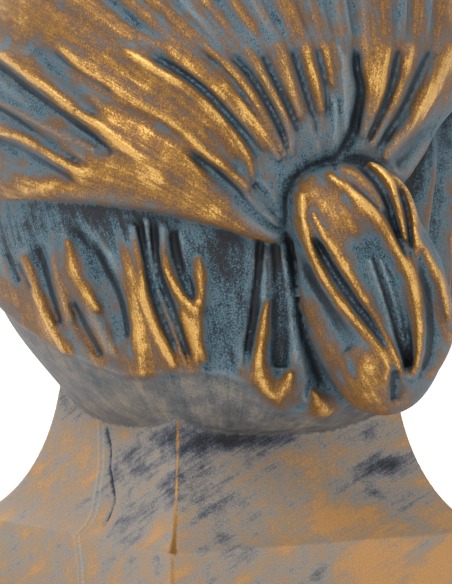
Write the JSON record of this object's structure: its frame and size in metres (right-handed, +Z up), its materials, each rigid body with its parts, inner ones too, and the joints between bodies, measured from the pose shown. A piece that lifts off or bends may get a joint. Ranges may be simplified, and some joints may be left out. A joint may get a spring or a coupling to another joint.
{
  "type": "female bust",
  "caption": "Female portrait bust with drawn-back hair in a looped chignon, on a square flared neck, with a bronze and verdigris painted finish.",
  "frame": {"origin": "centre of the flat underside that the bust rests on", "axes": "+Z up; the square neck's front faces -Y and its left side faces +X; the face looks 12 degrees past -Y towards the bust's own right"},
  "size_m": [0.1823, 0.244, 0.2929],
  "materials": {
    "bronze_verdigris_paint": "hand-painted cast resin: satin bronze gold brushed on the raised hair, blue-green verdigris in the grooves, near-black recesses, brown and grey on the neck"
  },
  "bodies": {
    "root": {"bust": "bronze_verdigris_paint"}
  },
  "joints": []
}
